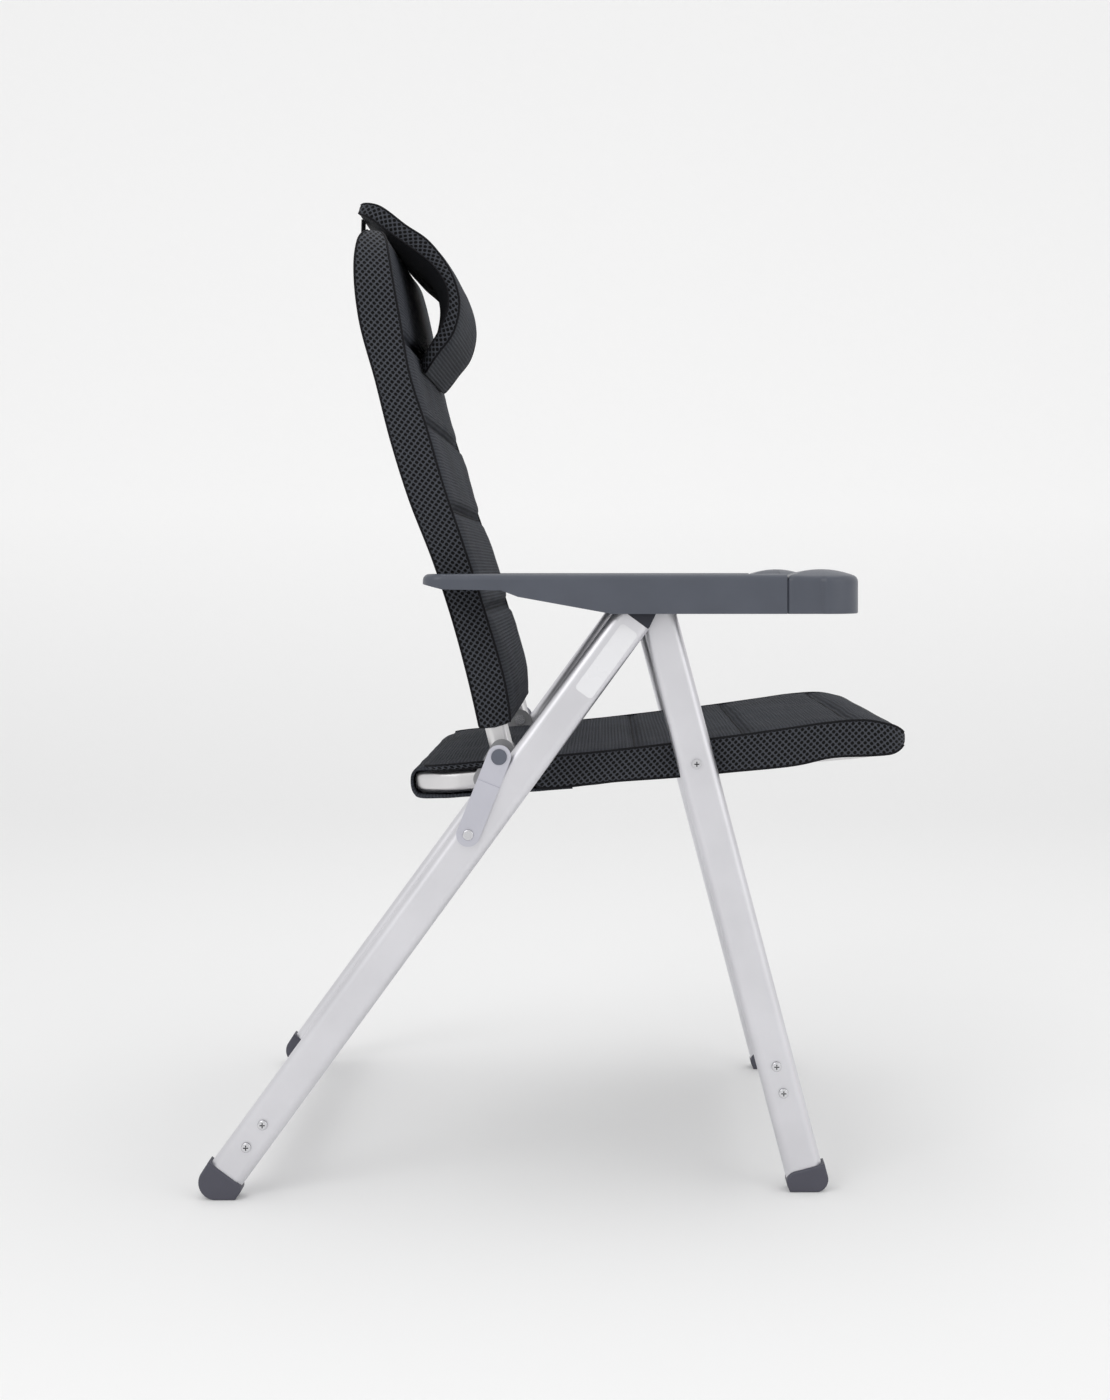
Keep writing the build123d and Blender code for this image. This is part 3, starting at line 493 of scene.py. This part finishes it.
# Seat pad, rear to front
SEAT_UNDER = from_corner(seat_lo.x, seat_lo.z, [
    (23, 29.2), (75, 33.7), (130, 38.7), (143, 30.7), (151, 11.7), (207, 15.7), (238, 19.2), (301, 23.7),
    (364, 29.7), (434, 36.7), (477, 45.7), (520, 47.7), (547, 49.7), (564, 52.7),
])
SEAT_OVER = from_corner(seat_lo.x, seat_lo.z, [
    (18, 34.7), (75, 39.7), (130, 44.7), (145, 45.7), (161, 46.7), (211, 51.2), (243, 54.7), (303, 61.7),
    (365, 69.2), (433, 78.7), (475, 84.7), (515, 87.2), (543, 82.2), (564, 77.7),
])
seat, seat_edges, seat_seams = pad(
    "seat_cushion", "seat", SEAT_UNDER, SEAT_OVER, seat_hi.y - PAD_INSET, 34.0, 3.0,
    seams=(112.0, 238.0, 364.0, 486.0), sag=0.0,
    end_round=(3.0, 22.0), rows=430, side=34, bulge=2.6, capped=(3.0, 26.0), dip=3.5, corner_low=30.0,
)
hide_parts("seat_pad")

# Headrest, its top end to its lower end; its outer face is the one the head rests on
HEAD_OVER = from_corner(head_lo.x, head_lo.z, [
    (-1, 198.5), (25, 192.5), (55, 170.5), (80, 153.5), (100, 129.5), (112, 106.5), (118, 77.5),
    (111, 45.5), (93, 20.5), (75, -4.5),
])
HEAD_UNDER = from_corner(head_lo.x, head_lo.z, [
    (-4, 187.5), (13, 179.5), (28, 168.5), (43, 157.5), (67, 140.5), (88, 122.5), (102.5, 99.5),
    (104.5, 75.5), (96, 50.5), (83, 27.5), (71, 7.5),
])
head, head_edges, _ = pad(
    "headrest_cushion", "headrest", HEAD_UNDER, HEAD_OVER, head_hi.y - HEAD_INSET, 26.0, 3.5, seams=(), sag=-2.0,
    end_round=(6.0, 7.0), rows=200, cols=44, side=20, bulge=2.5, capped=(6.0, 5.0), corner_low=26.0, belly=-17.0,
)
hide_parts("headrest_pad")

# Piping where each border meets the top and the underside
PIPING_R, SEAM_R = 1.3, 0.9
for label, edges in (("back", back_edges), ("seat", seat_edges), ("headrest", head_edges)):
    for where, points in edges.items():
        sign = 1 if where.endswith("right") else -1
        line = [(p.x, p.y + sign * 0.2, p.z) for p in points[2:-2:2]]
        tube_along(f"{label}_piping_{where}", label, line, PIPING_R)
# Near-black cords along the sewn channels: the seams are real, and their dark line is partly painted shade of the
# channels' hollows
for label, seams in (("back", back_seams), ("seat", seat_seams)):
    for number, line in enumerate(seams, 1):
        tube_along(f"{label}_seam_{number}", label, line, SEAM_R)


# ---- The seat fabric's rear sleeve: a band round the frame's rear tube, and back below ----
def band(name, body, line, thick, half, cols=48, ripple=0.6, corner=54.0):
    """A closed strip of cloth along a line of (x, z) in mm, thick to its left, across the chair."""
    rows = 120
    path = smooth_line(line, rows)
    verts, uvs = [], []
    far = 0.0
    for j, p in enumerate(path):
        t = (path[min(j + 1, rows - 1)] - path[max(j - 1, 0)]).normalized()
        n = Vector((-t.y, t.x))
        if j:
            far += (p - path[j - 1]).length
        # Its side edges turn in with the frame's rear corners
        gap = min(max(p.x - SLEEVE_REAR_X, 0.0), corner)
        width = half - corner + math.sqrt(max(corner ** 2 - (corner - gap) ** 2, 0.0))
        width = max(width, half - corner + 14)
        for face in (0, 1):
            for i in range(cols + 1):
                y = width * (2 * i / cols - 1)
                if face:
                    y = -y
                wave = ripple * noise.noise(Vector((y * 0.03, far * 0.05, 1.5)))
                q = p + n * ((thick if face == 0 else 0.0) + wave)
                verts.append((q.x * MM, y * MM, q.y * MM))
                uvs.append((y / 10, far / 10))
    m = 2 * (cols + 1)
    faces = []
    for j in range(rows - 1):
        for i in range(m):
            k = (i + 1) % m
            faces.append((j * m + i, (j + 1) * m + i, (j + 1) * m + k, j * m + k))
    for j, flip in ((0, True), (rows - 1, False)):
        for i in range(cols):
            quad = (j * m + i, j * m + i + 1, j * m + m - 2 - i, j * m + m - 1 - i)
            faces.append(tuple(reversed(quad)) if flip else quad)
    mesh = bpy.data.meshes.new(name)
    mesh.from_pydata(verts, [], faces)
    mesh.materials.append(pad_grey)
    layer = mesh.uv_layers.new(name="fabric")
    for poly in mesh.polygons:
        poly.use_smooth = True
        for loop in poly.loop_indices:
            layer.data[loop].uv = uvs[mesh.loops[loop].vertex_index]
    mesh.validate()
    mesh.update()
    piece = bpy.data.objects.new(name, mesh)
    bpy.context.scene.collection.objects.link(piece)
    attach(piece, body)
    return piece, far


SLEEVE = from_corner(ring_lo.x, ring_lo.z, [
    (29.4, 32.7), (9.4, 30.7), (0.9, 26.7), (-3.4, 18.2), (-3.4, 8.2), (1.4, -0.3), (11.4, -3.6),
    (49.4, -1.3), (109.4, 3.2), (181.4, 8.7),
])
SLEEVE_REAR_X = ring_lo.x - 6.1
sleeve, sleeve_run = band("seat_rear_sleeve", "seat", SLEEVE, 3.2, ring_hi.y + 0.5)

# ---- Armrest knobs: a domed, D-shaped cap with a rounded rim, hollow below ----
KNOB_C, KNOB_R = (knob_hi.x - 37.4, (knob_lo.y + knob_hi.y) / 2), 40.2
KNOB_BACK_X, KNOB_SIDES = knob_lo.x + 0.3, (knob_lo.y + 6.8, knob_hi.y - 1.8)
RIM, KNOB_WALL = 8.0, 3.4
DOME_FOOT, DOME_RISE, DOME_SLOPE = knob_hi.z - 5.8, 6.6, math.radians(21)


def knob_reach(a):
    """How far the knob's outline is from its centre at angle a from the front, in mm."""
    dx, dy = math.cos(a), math.sin(a)
    if dx >= 0:
        return KNOB_R
    back = (KNOB_C[0] - KNOB_BACK_X) / -dx
    wall = KNOB_SIDES[1 if dy > 0 else 0] - KNOB_C[1]
    return min(back, wall / dy) if abs(dy) > 1e-6 else back


def knob(name, side):
    """Lathes the knob's rings out from its top's middle, down its side and up inside it."""
    rings = [(t, DOME_FOOT + DOME_RISE * (1 - t * t), RIM - RIM * math.sin(DOME_SLOPE))
             for t in (0.08, 0.25, 0.4, 0.55, 0.7, 0.82, 0.92, 1.0)]
    for i in range(1, 9):
        a = DOME_SLOPE + (math.pi / 2 - DOME_SLOPE) * i / 8
        rings.append((1.0, DOME_FOOT + RIM * (math.cos(a) - math.cos(DOME_SLOPE)), RIM * (1 - math.sin(a))))
    # Down its side, round its foot and up inside it, by height above its foot
    below = [(1.0, up, 0.0) for up in (29.0, 23.0, 11.0, 4.0)]
    below += [(1.0, 1.2, 0.1), (1.0, 0.2, 0.7), (1.0, 0.0, 1.6), (1.0, 0.1, KNOB_WALL - 0.6)]
    below += [(1.0, 1.0, KNOB_WALL), (1.0, 16.0, KNOB_WALL), (1.0, 32.0, KNOB_WALL + 2.0), (0.5, 36.0, 0.0)]
    below.append((0.04, 36.5, 0.0))
    rings += [(share, knob_lo.z + up, inset) for share, up, inset in below]
    count = 96
    verts, faces = [], []
    for share, z, inset in rings:
        for i in range(count):
            a = 2 * math.pi * i / count
            r = (knob_reach(a) - inset) * share
            x, y = KNOB_C[0] + r * math.cos(a), KNOB_C[1] + r * math.sin(a)
            verts.append((x * MM, side * y * MM, z * MM))
    for j in range(len(rings) - 1):
        for i in range(count):
            k = (i + 1) % count
            quad = (j * count + i, (j + 1) * count + i, (j + 1) * count + k, j * count + k)
            faces.append(quad if side > 0 else tuple(reversed(quad)))
    first, last = list(range(count)), list(range((len(rings) - 1) * count, len(rings) * count))
    faces.append(tuple(first) if side > 0 else tuple(reversed(first)))
    faces.append(tuple(reversed(last)) if side > 0 else tuple(last))
    mesh = bpy.data.meshes.new(name)
    mesh.from_pydata(verts, [], faces)
    mesh.materials.append(arm_plastic)
    for poly in mesh.polygons:
        poly.use_smooth = True
    mesh.validate()
    mesh.update()
    piece = bpy.data.objects.new(name, mesh)
    bpy.context.scene.collection.objects.link(piece)
    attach(piece, "armrests")
    return piece


for label, side in (("right", -1), ("left", 1)):
    cap = knob(f"knob_shell_{label}", side)
    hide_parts(f"armrest_knob_{label}")

# ---- A plain blank sticker on the near rear leg ----
LABEL_AT, LABEL_SIZE = (leg_hi.x - 46.2, leg_hi.z - 59.2), (88.0, 22.0)
LABEL_Y = leg_lo.y - 0.35
leg_dir = Vector((484.3, 662.0)).normalized()
leg_across = Vector((leg_dir.y, -leg_dir.x))
outline = []
for cx, cy, start in ((1, 1, 0), (-1, 1, 90), (-1, -1, 180), (1, -1, 270)):
    for k in range(7):
        a = math.radians(start + 15 * k)
        outline.append((cx * (LABEL_SIZE[0] / 2 - 4) + 4 * math.cos(a), cy * (LABEL_SIZE[1] / 2 - 4) + 4 * math.sin(a)))
verts = []
for y in (LABEL_Y, LABEL_Y + 0.25):
    for a, b in outline:
        p = Vector(LABEL_AT) + leg_dir * a + leg_across * b
        verts.append((p.x * MM, y * MM, p.y * MM))
n = len(outline)
faces = [tuple(range(n)), tuple(reversed(range(n, 2 * n)))]
faces += [(i, n + i, n + (i + 1) % n, (i + 1) % n) for i in range(n)]
label_mesh = bpy.data.meshes.new("blank_label")
label_mesh.from_pydata(verts, [], faces)
sticker = Mat("blank_sticker", (0.80, 0.80, 0.82), 0.3)
sticker.bump(sticker.noise(120.0), 0.05, 0.0002)
sticker.rough(sticker.span(sticker.noise(40.0), 0.2, 0.8, 0.22, 0.42))
label_mesh.materials.append(sticker.mat)
blank = bpy.data.objects.new("blank_label", label_mesh)
bpy.context.scene.collection.objects.link(blank)
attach(blank, "rear_frame")

# ---- Stage, lights and camera ----
stage_mat = Mat("studio_paper", (0.93, 0.93, 0.93), 0.9, 0.0, 0.1, Emission_Strength=0.09)
stage_mat.set("Emission Color", (1, 1, 1, 1))
split = stage_mat.node("ShaderNodeSeparateXYZ")
stage_mat.link(stage_mat.coords(), split.inputs[0])
stage_mat.color(stage_mat.ramp(split.outputs[2], 0.0, 0.9, (0.80, 0.80, 0.80), (0.94, 0.94, 0.94)))
stage_mat.bump(stage_mat.noise(3.0), 0.02, 0.001)
profile = [(-7.0, 0.0), (3.0, 0.0)]
for i in range(1, 13):
    a = math.pi / 2 * i / 12
    profile.append((3.0 + 2.0 * math.sin(a), 2.0 - 2.0 * math.cos(a)))
profile.append((5.0, 9.0))
floor_verts = [(x, y, z) for y, z in profile for x in (-12.0, 12.0)]
floor_faces = [(2 * i, 2 * i + 1, 2 * i + 3, 2 * i + 2) for i in range(len(profile) - 1)]
floor_mesh = bpy.data.meshes.new("studio_floor")
floor_mesh.from_pydata(floor_verts, [], floor_faces)
floor_mesh.materials.append(stage_mat.mat)
for poly in floor_mesh.polygons:
    poly.use_smooth = True
floor = bpy.data.objects.new("studio_floor", floor_mesh)
bpy.context.scene.collection.objects.link(floor)

world = bpy.data.worlds.new("studio")
bpy.context.scene.world = world
world.use_nodes = True
sky = world.node_tree.nodes["Background"]
sky.inputs[0].default_value = (1.0, 1.0, 1.0, 1)
sky.inputs[1].default_value = 0.80


def softbox(name, at, target, size, power):
    light = bpy.data.lights.new(name, "AREA")
    light.shape = "SQUARE"
    light.size = size
    light.energy = power
    lamp = bpy.data.objects.new(name, light)
    lamp.location = at
    lamp.rotation_mode = "QUATERNION"
    lamp.rotation_quaternion = (Vector(target) - Vector(at)).to_track_quat("-Z", "Y")
    bpy.context.scene.collection.objects.link(lamp)


softbox("key", (-1.6, -2.6, 2.6), (0, 0, 0.5), 1.8, 24)
softbox("fill", (2.6, -2.0, 1.6), (0, 0, 0.5), 2.2, 11)
softbox("top", (0.4, 0.4, 3.2), (0, 0, 0.5), 2.4, 15)

cam_data = bpy.data.cameras.new("camera")
cam = bpy.data.objects.new("camera", cam_data)
cam.location = (0.0485, -2.490, 0.6866)
cam.rotation_euler = (math.pi / 2, 0, 0)
cam_data.lens = 51.43
cam_data.sensor_width = 36.0
cam_data.shift_x = -50 / 1400
cam_data.shift_y = -130 / 1400
cam_data.clip_end = 60.0
bpy.context.scene.collection.objects.link(cam)
bpy.context.scene.camera = cam
bpy.context.scene.view_settings.view_transform = "Standard"
